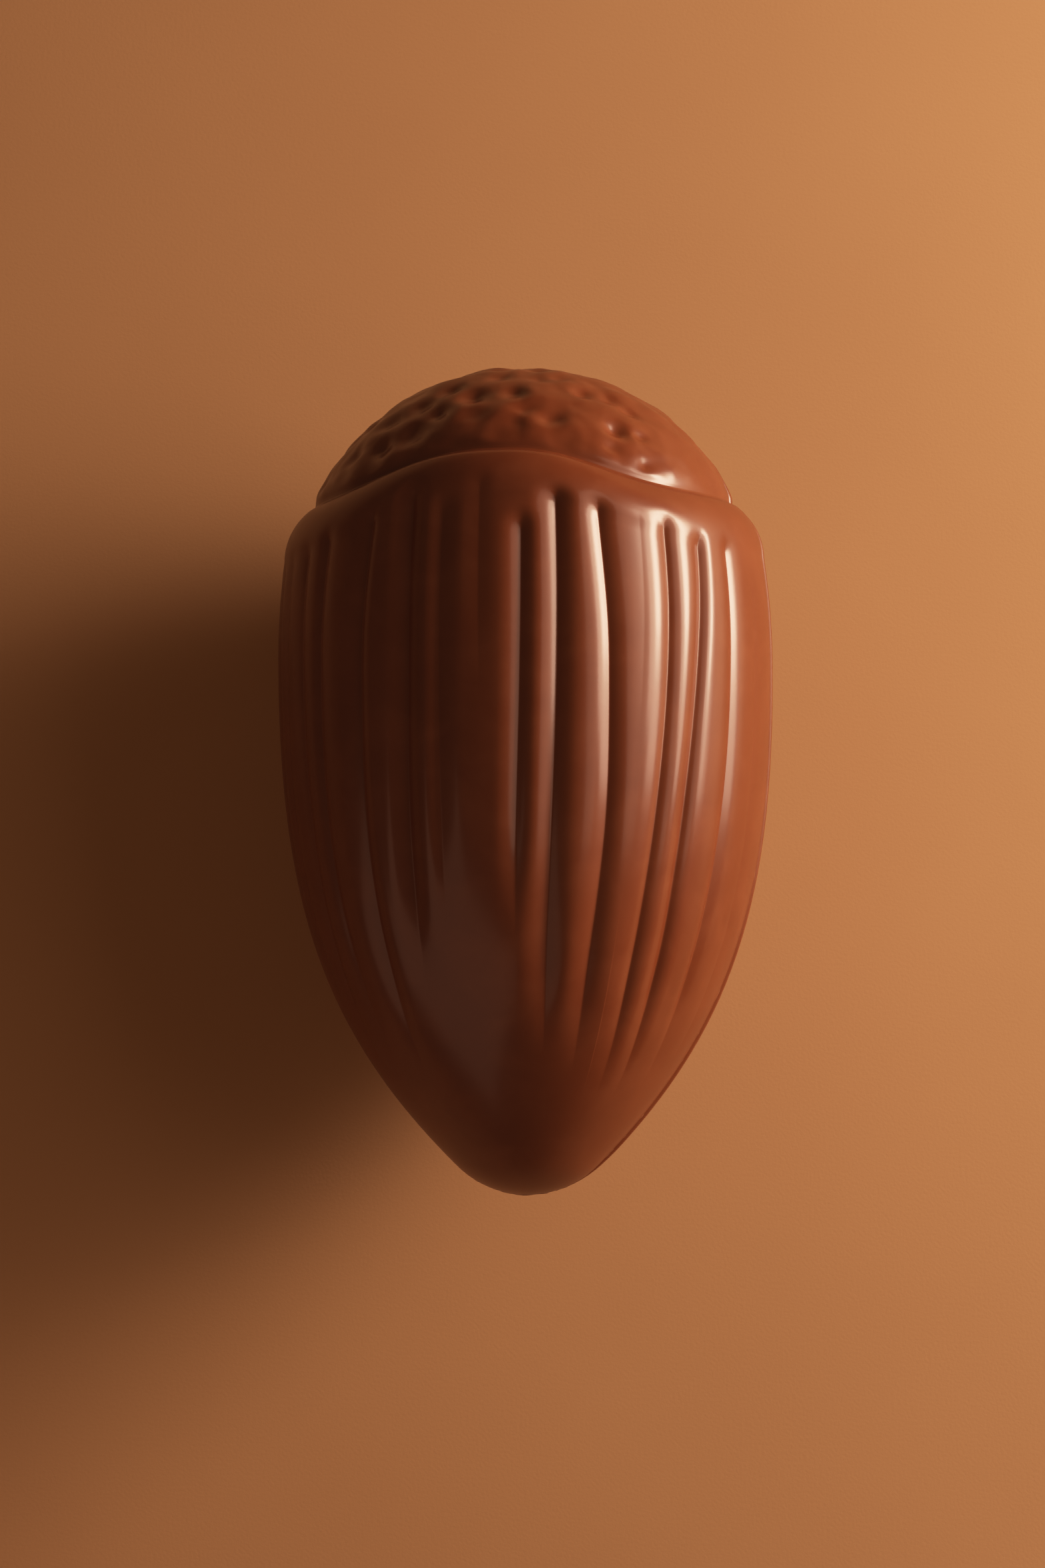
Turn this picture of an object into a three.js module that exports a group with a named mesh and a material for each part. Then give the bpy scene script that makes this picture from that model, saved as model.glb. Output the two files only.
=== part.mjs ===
// A moulded chocolate egg in the shape of a nut: a fluted body that runs down to
// a smooth blunt tip, a rounded shoulder, a small step, and a knobbly dome.
// It was cast in two halves, joined along a seam on the left and right sides.
// The egg lies on its side: tip towards -Y, dome towards +Y, +Z up, millimetres.
import * as THREE from "three";

// ---- Driving dimensions (mm, and degrees around the long axis) ----
const LENGTH = 150; // tip to top of dome
const BODY_RADIUS = 44.7; // at the widest station
const WIDEST_AT = 97; // distance of the widest station from the tip
const NOSE_RADIUS = 18; // the rounded tip
const NOSE_ANGLE = 45; // where the nose arc hands over to the flank
const NOSE_HANDLE = 34.5; // how long the flank keeps the nose's direction
const WAIST_HANDLE = 43.5; // how long it keeps the direction at the widest station
const UPPER_CURVE = 0.004; // the body closes in above the widest station, mm per mm squared
const SHOULDER_LENGTH = 8.8; // the rounding below the rim
const SHOULDER_RADIUS = 11.5;
const RIM_BASE = 122.4; // distance of the rim from the tip, away from its arch
const RIM_ARCH = 6.3; // how far the rim rises in the middle of each half
const RIM_ARCH_AT = -2; // where it is highest
const RIM_ARCH_WIDTH = 32;
const RIM_ARCH_POWER = 2.6;
const RIM_SEAM_RISE = 1.4; // it rises a little again at the seams
const STEP_HEIGHT = 0.65; // the rim stands this far out from the dome
const STEP_RUN = 0.7;
const FILLET_RUN = 0.6; // hollow at the foot of the dome
const DOME_CENTRE = 106.3; // station of the dome ellipse's centre
const DOME_RADIUS = 42.7;
const DOME_HALF_LENGTH = LENGTH - DOME_CENTRE;
const SEAM_AT = 90; // the seams lie this far either side of the top
const SEAM_WIDTH = 0.5;
const SEAM_DEPTH = 0.35;
const SEAM_STRIP = 1.2; // half width of the strip of mesh along a seam
const LOWER_HALF_SHIFT = [0.45, -0.3]; // the lower half sits this far off, x and y
const SHIFT_FADE = 9; // the shift dies out over this length at each end
const ROLL = -5; // the whole egg has rolled a little: its right seam is raised
const DIP = 3.2; // and its tip hangs a little lower than its dome
const REST_DEPTH = 0.3; // depth of the flat it rests on

// ---- Flutes ----
// at: angle at the widest part. lean: how much further round its upper end is.
// sweep: how much further round its lower end is. top: gap to the rim. foot: lower
// end's distance from the tip. depth, half: depth and half width of the valley.
const FLUTES = [
  { at: -78.5, lean: 0, sweep: 0, top: 8, foot: 38, depth: 1.1, half: 3.6 },
  { at: -71.5, lean: 0, sweep: -1, top: 7, foot: 34, depth: 1.2, half: 3.6 },
  { at: -64, lean: 0.5, sweep: -2, top: 6, foot: 30, depth: 1.2, half: 3.9 },
  { at: -55.5, lean: 0.5, sweep: -1.5, top: 6, foot: 24, depth: 1.3, half: 4.1 },
  { at: -47, lean: 1.5, sweep: -1, top: 5, foot: 24, depth: 1.3, half: 4.2 },
  { at: -33.4, lean: 2, sweep: -2.5, top: 6, foot: 20, depth: 1.3, half: 4.2 },
  { at: -23, lean: 0.7, sweep: -2.5, top: 5, foot: 34, depth: 1.6, half: 4 },
  { at: -14.8, lean: 0.5, sweep: -1.2, top: 10, foot: 46, depth: 1.1, half: 4 },
  { at: 3.9, lean: 0.4, sweep: -2.2, top: 9, foot: 44, depth: 0.9, half: 3.8 },
  { at: 11.7, lean: 0.4, sweep: -2.6, top: 6, foot: 24, depth: 1.5, half: 4.1 },
  { at: 23.2, lean: -2.4, sweep: -1.4, top: 5, foot: 21, depth: 1.7, half: 4.4 },
  { at: 38.3, lean: 0.6, sweep: -4.6, top: 4, foot: 17, depth: 1.7, half: 4.2 },
  { at: 47.1, lean: 2, sweep: -5.2, top: 6, foot: 17, depth: 1.7, half: 4.2 },
  { at: 57.8, lean: 0.4, sweep: -1.6, top: 7, foot: 18, depth: 1.3, half: 4 },
  { at: 67, lean: 0.4, sweep: 0.5, top: 12, foot: 20, depth: 0.8, half: 3.6 },
];
const LOWER_FLUTES = 14; // the lower half carries this many more
const LOWER_SEED = 7;
const VALLEY_COLUMNS = [0, 0.5]; // mesh columns at these fractions of the half width

// ---- Knobbles on the dome ----
const KNOB_SPACING = 5.2;
const KNOB_HEIGHT = 1.15;
const KNOB_CLEAR = 6.5; // smooth band above the step
const KNOB_FADE = 3.5;
const KNOB_SEED = 5;

// ---- Mesh rows, as distances from the tip that scale with the rim ----
const BODY_ROWS = [
  0.5, 1.6, 3.2, 5.4, 8.2, 11.8, 16, 21, 27, 34, 42, 50, 58, 66, 74, 82, 90, 97, 103,
  108, 112,
];
const SHOULDER_ROWS = [0, 0.3, 0.55, 0.75, 0.9, 1]; // along the shoulder rounding
const DOME_ROWS = 18;
const COLOUR = 0x5a2c16;

const rad = THREE.MathUtils.degToRad;
const clamp = THREE.MathUtils.clamp;
const smooth = (x, lo, hi) => THREE.MathUtils.smoothstep(x, lo, hi);

// A repeatable number from 0 to 1.
function hash(...values) {
  let s = 0;
  values.forEach((v, i) => (s += v * [127.1, 311.7, 74.7, 269.5][i]));
  const f = Math.sin(s) * 43758.5453;
  return f - Math.floor(f);
}

// The body's outline as (distance from tip, radius): nose arc, flank, then a
// gentle closing curve above the widest station.
function bodyOutline() {
  const psi = rad(NOSE_ANGLE);
  const joint = new THREE.Vector2(
    NOSE_RADIUS * (1 - Math.cos(psi)),
    NOSE_RADIUS * Math.sin(psi),
  );
  const outline = new THREE.Path();
  outline.absarc(NOSE_RADIUS, 0, NOSE_RADIUS, Math.PI, Math.PI - psi, true);
  outline.bezierCurveTo(
    joint.x + NOSE_HANDLE * Math.sin(psi),
    joint.y + NOSE_HANDLE * Math.cos(psi),
    WIDEST_AT - WAIST_HANDLE,
    BODY_RADIUS,
    WIDEST_AT,
    BODY_RADIUS,
  );
  return outline.getPoints(200);
}
const OUTLINE = bodyOutline();

function flankRadius(station) {
  if (station >= WIDEST_AT)
    return BODY_RADIUS - UPPER_CURVE * (station - WIDEST_AT) ** 2;
  let i = 1;
  while (OUTLINE[i].x < station) i++;
  const [a, b] = [OUTLINE[i - 1], OUTLINE[i]];
  return a.y + ((b.y - a.y) * (station - a.x)) / (b.x - a.x);
}

// Angle from the middle of the half it lies in: both halves come from one mould.
function inHalf(angle) {
  const a = ((((angle + 90) % 360) + 360) % 360) - 90;
  return a <= 90 ? a : 180 - a;
}

function rimStation(angle) {
  const a = inHalf(angle);
  const arch = Math.exp(-(Math.abs((a - RIM_ARCH_AT) / RIM_ARCH_WIDTH) ** RIM_ARCH_POWER));
  return RIM_BASE + RIM_ARCH * arch + RIM_SEAM_RISE * Math.abs(a / 90) ** 4;
}

function bodyRadius(station, angle) {
  const start = rimStation(angle) - SHOULDER_LENGTH;
  const x = clamp(station - start, 0, SHOULDER_LENGTH);
  const rounding = SHOULDER_RADIUS - Math.sqrt(SHOULDER_RADIUS ** 2 - x * x);
  return flankRadius(Math.min(station, start)) - rounding;
}

function domeRadius(station) {
  const t = clamp((station - DOME_CENTRE) / DOME_HALF_LENGTH, -1, 1);
  return DOME_RADIUS * Math.sqrt(1 - t * t);
}

// All flutes round the egg, in order of angle.
function allFlutes() {
  const lower = [];
  for (let i = 0; i < LOWER_FLUTES; i++) {
    const step = 180 / LOWER_FLUTES;
    const r = (k) => hash(i, k, LOWER_SEED);
    lower.push({
      at: SEAM_AT + step * (i + 0.5 + 0.3 * (r(1) - 0.5)),
      lean: 2 * (r(2) - 0.5),
      sweep: 3 * (r(3) - 0.5),
      top: 5 + 5 * r(4),
      foot: 20 + 20 * r(5),
      depth: 1.1 + 0.5 * r(6),
      half: 3.8 + 0.4 * r(7),
    });
  }
  return [...FLUTES, ...lower];
}
const ALL_FLUTES = allFlutes();

// Where a flute's valley runs at a station: it leans near the rim and sweeps
// slowly aside towards the tip.
function fluteAngle(flute, station) {
  const up = smooth(station, WIDEST_AT, 118);
  const down = 1 - smooth(station, 35, WIDEST_AT);
  return flute.at + flute.lean * up + flute.sweep * down;
}

// Depth below the smooth body at a distance across the valley: two rounded
// ridges that meet in a crease.
function fluteDepth(flute, station, angle, across) {
  const open =
    smooth(station, flute.foot, flute.foot + 22) *
    (1 - smooth(station, rimStation(angle) - flute.top - 6, rimStation(angle) - flute.top));
  const x = clamp(Math.abs(across) / flute.half, 0, 1);
  return flute.depth * open * (1 - x) ** 2;
}

// Mesh columns: the crease of each flute or seam, its two walls and the ridge
// between it and the next.
function columns() {
  const seam = (at) => ({ at, lean: 0, sweep: 0, half: SEAM_STRIP });
  const features = [...ALL_FLUTES, seam(-SEAM_AT), seam(SEAM_AT)];
  features.sort((a, b) => a.at - b.at);
  const list = [];
  features.forEach((flute, i) => {
    const next = features[(i + 1) % features.length];
    const turn = i + 1 === features.length ? 360 : 0;
    const spot = (side) => (station) => {
      const r = Math.max(flankRadius(Math.min(station, WIDEST_AT)), 6);
      const near = fluteAngle(flute, station);
      const far = fluteAngle(next, station) + turn;
      const wall = (w) => Math.min(THREE.MathUtils.radToDeg(w / r), (far - near) / 3);
      if (side === 0) return near;
      if (side === 1) return near + wall(flute.half * VALLEY_COLUMNS[1]);
      if (side === 3) return far - wall(next.half * VALLEY_COLUMNS[1]);
      return (near + far) / 2;
    };
    for (const side of [0, 1, 2, 3]) list.push(spot(side));
  });
  return list;
}

// Deepest flute at a place on the body.
function relief(station, angle) {
  let deepest = 0;
  const r = flankRadius(Math.min(station, WIDEST_AT));
  for (const flute of ALL_FLUTES) {
    const away = ((((angle - fluteAngle(flute, station)) % 360) + 540) % 360) - 180;
    const across = rad(away) * r;
    if (Math.abs(across) < flute.half)
      deepest = Math.max(deepest, fluteDepth(flute, station, angle, across));
  }
  return deepest;
}

function seamDepth(angle, radius) {
  const away = Math.min(Math.abs(inHalf(angle) - 90), Math.abs(inHalf(angle) + 90));
  const across = (rad(away) * radius) / SEAM_WIDTH;
  return SEAM_DEPTH * Math.exp(-across * across);
}

// Uneven knobbles: the nearest of the scattered centres raises a rounded lump.
function knobHeight(p) {
  const c = [p.x, p.y, p.z].map((v) => v / KNOB_SPACING);
  const cell = c.map(Math.floor);
  let near = 9;
  for (let i = -1; i < 2; i++)
    for (let j = -1; j < 2; j++)
      for (let k = -1; k < 2; k++) {
        const n = [cell[0] + i, cell[1] + j, cell[2] + k];
        const q = [0, 1, 2].map((d) => n[d] + hash(n[0], n[1], n[2], d + KNOB_SEED) - c[d]);
        near = Math.min(near, Math.hypot(...q));
      }
  return KNOB_HEIGHT * (clamp(1 - near * 1.25, -0.3, 1) - 0.3);
}

function place(station, angle, radius, lower) {
  const p = new THREE.Vector3(
    radius * Math.sin(rad(angle)),
    station - LENGTH / 2,
    radius * Math.cos(rad(angle)),
  );
  const whole = smooth(station, 0, SHIFT_FADE) * (1 - smooth(station, LENGTH - SHIFT_FADE, LENGTH));
  const [x, y] = LOWER_HALF_SHIFT;
  if (lower) p.add(new THREE.Vector3(x, y, 0).multiplyScalar(whole));
  return p;
}

// One ring of the mesh for each row, from the tip to the top of the dome.
function surfacePoint(row, column, lower) {
  const { kind, value } = row;
  let station = value;
  let angle = column(Math.min(value, 118));
  const rim = rimStation(angle);
  if (kind === "body") station = (value * (rim - SHOULDER_LENGTH)) / (RIM_BASE - SHOULDER_LENGTH);
  if (kind === "shoulder") station = rim - SHOULDER_LENGTH * (1 - value);
  angle = column(Math.min(station, 118));
  if (kind === "body" || kind === "shoulder") {
    const r = bodyRadius(station, angle);
    return place(station, angle, r - relief(station, angle) - seamDepth(angle, r), lower);
  }
  const foot = rim + STEP_RUN;
  const base = Math.min(domeRadius(foot), bodyRadius(rim, angle)) - STEP_HEIGHT;
  if (kind === "step") return place(foot, angle, base, lower);
  const run = value * (LENGTH - foot);
  station = foot + FILLET_RUN * Math.min(1, value * DOME_ROWS) + run * (1 - FILLET_RUN / (LENGTH - foot));
  const settle = Math.exp(-(station - foot) / 2);
  const r = domeRadius(station) - (domeRadius(foot) - base) * settle;
  const clear = smooth(station - foot, KNOB_CLEAR - KNOB_FADE, KNOB_CLEAR + KNOB_FADE);
  const knob = knobHeight(place(station, angle, r, false)) * clear;
  const slope = Math.atan2(domeRadius(station - 0.2) - domeRadius(station + 0.2), 0.4);
  const out = place(
    station + knob * Math.sin(slope),
    angle,
    Math.max(r + knob * Math.cos(slope) - seamDepth(angle, r), 0.3),
    lower,
  );
  return out;
}

function rows() {
  const body = BODY_ROWS.map((value) => ({ kind: "body", value }));
  const shoulder = SHOULDER_ROWS.map((value) => ({ kind: "shoulder", value }));
  const dome = [];
  for (let i = 0; i < DOME_ROWS; i++) {
    const t = (i + 0.4) / DOME_ROWS;
    dome.push({ kind: "dome", value: Math.sin((t * Math.PI) / 2) });
  }
  return [...body, ...shoulder, { kind: "step", value: 0 }, ...dome];
}

function eggGeometry() {
  const cols = columns();
  const rings = rows();
  const points = [place(0, 0, 0, false)];
  for (const row of rings)
    for (const column of cols) {
      const middle = ((column(WIDEST_AT) % 360) + 360) % 360;
      points.push(surfacePoint(row, column, middle > 90 && middle < 270));
    }
  points.push(place(LENGTH, 0, 0, false));
  const faces = [];
  const n = cols.length;
  const at = (i, j) => 1 + i * n + (j % n);
  for (let j = 0; j < n; j++) {
    faces.push(0, at(0, j + 1), at(0, j));
    for (let i = 0; i + 1 < rings.length; i++) {
      faces.push(at(i, j), at(i, j + 1), at(i + 1, j));
      faces.push(at(i, j + 1), at(i + 1, j + 1), at(i + 1, j));
    }
    faces.push(at(rings.length - 1, j), at(rings.length - 1, j + 1), points.length - 1);
  }
  return { points, faces };
}

// Roll and dip the egg, press its lowest crests flat, and put the origin under
// the middle of its box.
function settle(points) {
  const turn = new THREE.Matrix4()
    .makeRotationX(rad(DIP))
    .multiply(new THREE.Matrix4().makeRotationY(rad(ROLL)));
  points.forEach((p) => p.applyMatrix4(turn));
  const lowest = Math.min(...points.map((p) => p.z)) + REST_DEPTH;
  points.forEach((p) => (p.z = Math.max(p.z, lowest)));
  const box = new THREE.Box3().setFromPoints(points);
  const middle = box.getCenter(new THREE.Vector3());
  points.forEach((p) => p.sub(new THREE.Vector3(middle.x, middle.y, box.min.z)));
}

const { points, faces } = eggGeometry();
settle(points);

const geometry = new THREE.BufferGeometry().setFromPoints(points);
geometry.setIndex(faces);
geometry.computeVertexNormals();

const chocolate = new THREE.MeshStandardMaterial({
  color: COLOUR,
  roughness: 0.35,
  metalness: 0,
});
const egg = new THREE.Mesh(geometry, chocolate);
egg.name = "chocolate_egg";

const group = new THREE.Group();
group.add(egg);
export default group;
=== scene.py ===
"""A moulded milk chocolate egg in the shape of a nut, dressed for rendering.

The fluted body runs down to a smooth blunt tip. Above a rounded shoulder and a
small step sits a dimpled dome. The egg was cast as two half shells from one
mould and joined along a seam on its left and right sides.
"""

from __future__ import annotations

import logging
import math
import random
from dataclasses import dataclass, field
from enum import Enum, IntEnum

import bpy
import numpy as np
from bpy.types import Material, Mesh, Node, NodeSocket, NodeTree, Object
from mathutils import Matrix, Vector


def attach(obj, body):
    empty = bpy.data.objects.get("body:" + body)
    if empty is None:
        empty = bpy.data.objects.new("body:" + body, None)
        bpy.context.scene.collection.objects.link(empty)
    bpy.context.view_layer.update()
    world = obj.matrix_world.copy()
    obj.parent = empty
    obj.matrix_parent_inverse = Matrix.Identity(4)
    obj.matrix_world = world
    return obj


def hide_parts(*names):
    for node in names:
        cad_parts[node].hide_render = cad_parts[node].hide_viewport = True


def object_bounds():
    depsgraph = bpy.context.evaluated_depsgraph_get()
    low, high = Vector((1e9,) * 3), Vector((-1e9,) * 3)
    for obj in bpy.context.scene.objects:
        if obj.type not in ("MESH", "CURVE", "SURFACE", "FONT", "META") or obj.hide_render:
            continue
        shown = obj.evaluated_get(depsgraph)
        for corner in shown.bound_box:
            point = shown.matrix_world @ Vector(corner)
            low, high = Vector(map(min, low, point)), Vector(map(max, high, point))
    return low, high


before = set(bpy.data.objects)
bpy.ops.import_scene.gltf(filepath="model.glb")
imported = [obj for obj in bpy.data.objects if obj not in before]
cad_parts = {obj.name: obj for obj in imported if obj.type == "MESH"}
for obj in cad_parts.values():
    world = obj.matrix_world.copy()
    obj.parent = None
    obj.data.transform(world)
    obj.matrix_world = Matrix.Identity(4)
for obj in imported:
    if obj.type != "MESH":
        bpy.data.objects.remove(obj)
CAD_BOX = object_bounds()
MM = 0.001
LOG = logging.getLogger("chocolate_egg")

# How far a pole stands off the ring next to it, in metres.
POLE_GAP = 0.00002

# First words of the attributes that the relief trees read and write.
RELIEF_WORDS = ("station", "below", "fluted", "dimpled", "near", "far", "dent")

# Weights and spread of the sine that gives repeatable numbers.
SINE_WEIGHTS = (127.1, 311.7, 74.7, 269.5)
SINE_SPREAD = 43758.5453

# Node types that are used often.
MATH = "ShaderNodeMath"
VECTOR_MATH = "ShaderNodeVectorMath"
MAP_RANGE = "ShaderNodeMapRange"
NOISE = "ShaderNodeTexNoise"
BUMP = "ShaderNodeBump"
READ = "GeometryNodeInputNamedAttribute"


def srgb(hex_colour: str) -> tuple[float, float, float, float]:
    """Turn an sRGB hex colour into linear RGBA.

    Args:
        hex_colour: Six hex digits, such as "5a2c16".

    Returns:
        The linear colour with full alpha.
    """
    parts = [int(hex_colour[i : i + 2], 16) / 255 for i in (0, 2, 4)]
    linear = [c / 12.92 if c <= 0.04045 else ((c + 0.055) / 1.055) ** 2.4 for c in parts]
    return (*linear, 1.0)


def add_node(
    tree: NodeTree, kind: str, inputs: dict[str | int, object] | None = None, **settings: object
) -> Node:
    """Add a node to a tree with its settings and inputs.

    Args:
        tree: The node tree that gets the node.
        kind: The node's type name.
        inputs: Values or sockets by the input's name or number.
        **settings: Properties of the node.

    Returns:
        The new node.
    """
    node = tree.nodes.new(kind)
    for name, value in settings.items():
        setattr(node, name, value)
    for key, value in (inputs or {}).items():
        if isinstance(value, NodeSocket):
            tree.links.new(value, node.inputs[key])
        else:
            node.inputs[key].default_value = value
    return node


def new_geometry_tree(name: str, sizes: dict[str, float]) -> tuple[NodeTree, Node]:
    """Start a geometry tree with a mesh input, named sizes and a mesh output.

    Args:
        name: The tree's name.
        sizes: Named number inputs and their values.

    Returns:
        The tree and its input node.
    """
    tree = bpy.data.node_groups.new(name, "GeometryNodeTree")
    tree.interface.new_socket("Geometry", in_out="INPUT", socket_type="NodeSocketGeometry")
    for label, value in sizes.items():
        socket = tree.interface.new_socket(label, in_out="INPUT", socket_type="NodeSocketFloat")
        socket.default_value = value
    tree.interface.new_socket("Geometry", in_out="OUTPUT", socket_type="NodeSocketGeometry")
    return tree, add_node(tree, "NodeGroupInput")


def smoothstep(x: np.ndarray, low: np.ndarray, high: np.ndarray) -> np.ndarray:
    """Rise smoothly from 0 at low to 1 at high.

    Args:
        x: Where to read the curve.
        low: Start of the rise.
        high: End of the rise.

    Returns:
        Values from 0 to 1.
    """
    t = np.clip((x - low) / (high - low), 0, 1)
    return t * t * (3 - 2 * t)


def new_material(name: str) -> tuple[Material, NodeTree, NodeSocket]:
    """Start a material on Object coordinates.

    Args:
        name: The material's name.

    Returns:
        The material, its node tree and the coordinates' socket.
    """
    material = bpy.data.materials.new(name)
    material.use_nodes = True
    tree = material.node_tree
    tree.nodes.clear()
    return material, tree, add_node(tree, "ShaderNodeTexCoord").outputs["Object"]


def shift_by_noise(tree: NodeTree, noise: Node, reach: NodeSocket) -> NodeSocket:
    """Turn a noise's colour into a shift to any side.

    Args:
        tree: The node tree.
        noise: The noise node.
        reach: Length that the shift is scaled by.

    Returns:
        The shift's socket.
    """
    middle = {0: noise.outputs["Color"], 1: (0.5, 0.5, 0.5)}
    centred = add_node(tree, VECTOR_MATH, middle, operation="SUBTRACT")
    shift = add_node(tree, VECTOR_MATH, {0: centred.outputs[0], "Scale": reach}, operation="SCALE")
    return shift.outputs[0]


def raise_surface(tree: NodeTree, mesh: NodeSocket, height: NodeSocket) -> NodeSocket:
    """Move a mesh's points along their normals.

    Args:
        tree: The geometry tree.
        mesh: The mesh's socket.
        height: How far each point moves outwards, in metres.

    Returns:
        The moved mesh's socket.
    """
    normal = add_node(tree, "GeometryNodeInputNormal").outputs[0]
    offset = add_node(tree, VECTOR_MATH, {0: normal, "Scale": height}, operation="SCALE")
    moved = add_node(tree, "GeometryNodeSetPosition", {"Geometry": mesh, "Offset": offset.outputs[0]})
    return moved.outputs[0]


def end_tree(tree: NodeTree, mesh: NodeSocket, finish: Material) -> None:
    """End a geometry tree: realize what it made, and give it its material.

    Args:
        tree: The geometry tree.
        mesh: The result's socket.
        finish: The material.
    """
    whole = add_node(tree, "GeometryNodeRealizeInstances", {"Geometry": mesh})
    inputs = {"Geometry": whole.outputs[0], "Material": finish}
    dressed = add_node(tree, "GeometryNodeSetMaterial", inputs)
    add_node(tree, "NodeGroupOutput", {"Geometry": dressed.outputs[0]})


def put_in_scene(name: str, data: bpy.types.ID) -> Object:
    """Make an object and link it to the scene.

    Args:
        name: The object's name.
        data: Its mesh, light or camera.

    Returns:
        The object, at the origin.
    """
    thing = bpy.data.objects.new(name, data)
    bpy.context.scene.collection.objects.link(thing)
    return thing


def closed_mesh(name: str, points: np.ndarray) -> Mesh:
    """Skin rings of points from a first pole to a last pole.

    Args:
        name: The mesh's name.
        points: Places by ring and column, in metres.

    Returns:
        A closed mesh whose faces point outwards.
    """
    rings, columns = points.shape[:2]
    first = points[0].mean(axis=0)
    last = points[-1].mean(axis=0)
    first[1] = points[0, :, 1].min() - POLE_GAP
    last[1] = points[-1, :, 1].max() + POLE_GAP
    vertices = np.concatenate([first[None], points.reshape(-1, 3), last[None]])
    here = np.arange(columns)
    after = (here + 1) % columns
    faces = [(0, 1 + b, 1 + a) for a, b in zip(here, after)]
    for i in range(rings - 1):
        low = 1 + i * columns
        high = low + columns
        faces += [(low + a, low + b, high + b, high + a) for a, b in zip(here, after)]
    top = 1 + (rings - 1) * columns
    end = len(vertices) - 1
    faces += [(top + a, top + b, end) for a, b in zip(here, after)]
    mesh = bpy.data.meshes.new(name)
    mesh.from_pydata(vertices.tolist(), [], faces)
    mesh.validate()
    return mesh


def store(mesh: Mesh, label: str, values: np.ndarray) -> None:
    """Store one number on each point of a mesh.

    Args:
        mesh: The mesh.
        label: The attribute's name.
        values: One number for each point.
    """
    attribute = mesh.attributes.new(label, "FLOAT", "POINT")
    attribute.data.foreach_set("value", values.astype(np.float32))


def grow(piece: Object, trees: list[NodeTree]) -> Object:
    """Run geometry trees on a piece and keep the result as its plain mesh.

    Args:
        piece: The object that carries the trees' input.
        trees: The trees, in the order they run.

    Returns:
        A new object with the result, under the same name.
    """
    for tree in trees:
        modifier = piece.modifiers.new(tree.name, "NODES")
        modifier.node_group = tree
        for item in tree.interface.items_tree:
            if item.in_out == "INPUT" and item.socket_type == "NodeSocketFloat":
                modifier[item.identifier] = item.default_value
    graph = bpy.context.evaluated_depsgraph_get()
    mesh = bpy.data.meshes.new_from_object(piece.evaluated_get(graph), depsgraph=graph)
    name = piece.name
    bpy.data.objects.remove(piece)
    mesh.name = name
    return put_in_scene(name, mesh)


class Side(Enum):
    """The two seams, by the side of the egg they lie on."""

    LEFT = -90.0
    RIGHT = 90.0


class Part(IntEnum):
    """The parts of the skin, from the tip up."""

    BODY = 0
    STEP = 1
    DOME = 2


@dataclass(frozen=True)
class Flute:
    """One crease between two rounded ribs, in mm and degrees.

    Attributes:
        at: Angle round the egg at its widest part, from straight up.
        lean: How much further round its upper end lies.
        sweep: How much further round its lower end lies.
        top: Gap between its upper end and the rim.
        foot: Distance of its lower end from the tip.
        depth: Depth of the crease.
        left: Width of the rib's fall towards it on its left.
        right: Width of the rib's rise from it on its right.
        bend: Distances from the tip between which the sweep fades out.
        curve: 1 for a straight fall to the crease, more for one that steepens towards it.
    """

    at: float
    lean: float = 0.0
    sweep: float = 0.0
    top: float = 6.0
    foot: float = 24.0
    depth: float = 1.3
    left: float = 4.0
    right: float = 4.0
    bend: tuple[float, float] = (35.0, 105.0)
    curve: float = 2.0


UPPER_FLUTES = [
    Flute(-81, 0, 0, 10, 44, 0.25, 3, 3),
    Flute(-74, 0, -1, 8, 38, 0.3, 3.4, 3.4),
    Flute(-66.5, 0.5, -2, 7, 30, 0.4, 3.6, 3.6),
    Flute(-57.4, 0.5, -3.5, 6, 22, 0.75, 4.2, 3.6, (25, 70)),
    Flute(-48.8, 1.5, -1, 5, 24, 0.7, 3.6, 3.6),
    Flute(-34.8, 2, -1.6, 4.5, 20, 0.85, 4.8, 3),
    Flute(-22.3, 0, -2.2, 3, 34, 1.5, 3.4, 3.6, curve=1.2),
    Flute(-14.4, 0.3, -1, 7, 46, 0.75, 2.4, 3.4, curve=1.3),
    Flute(-5.2, 0, 0, 3, 84, 0.25, 3.2, 2.6, curve=1.3),
    Flute(4.2, 0.3, -2.2, 10, 44, 1.1, 3.8, 3.6),
    Flute(12.5, 0.2, -2.2, 4.5, 24, 1.4, 5, 4.2),
    Flute(24.4, -1.7, -2.8, 4.5, 21, 1.1, 4.4, 3.8, (25, 75)),
    Flute(32.6, 0, -4, 4, 72, 0.04, 3, 2),
    Flute(39.8, 0, -4.7, 4, 17, 0.9, 5, 3.2, curve=2.5),
    Flute(50.2, 0, -5.8, 6, 17, 1.0, 3.8, 2.4, (50, 118)),
    Flute(60.6, 0, -2.3, 6, 18, 0.85, 3, 4.6, (45, 100)),
    Flute(71, 0, 0.5, 12, 20, 0.15, 3, 3.6),
]


@dataclass(frozen=True)
class Dimple:
    """One soft dent in the dome, in mm and degrees.

    Attributes:
        at: Angle round the egg, from straight up.
        station: Distance from the tip.
        size: Radius of the dent.
        depth: Depth of the dent.
    """

    at: float
    station: float
    size: float
    depth: float


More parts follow.
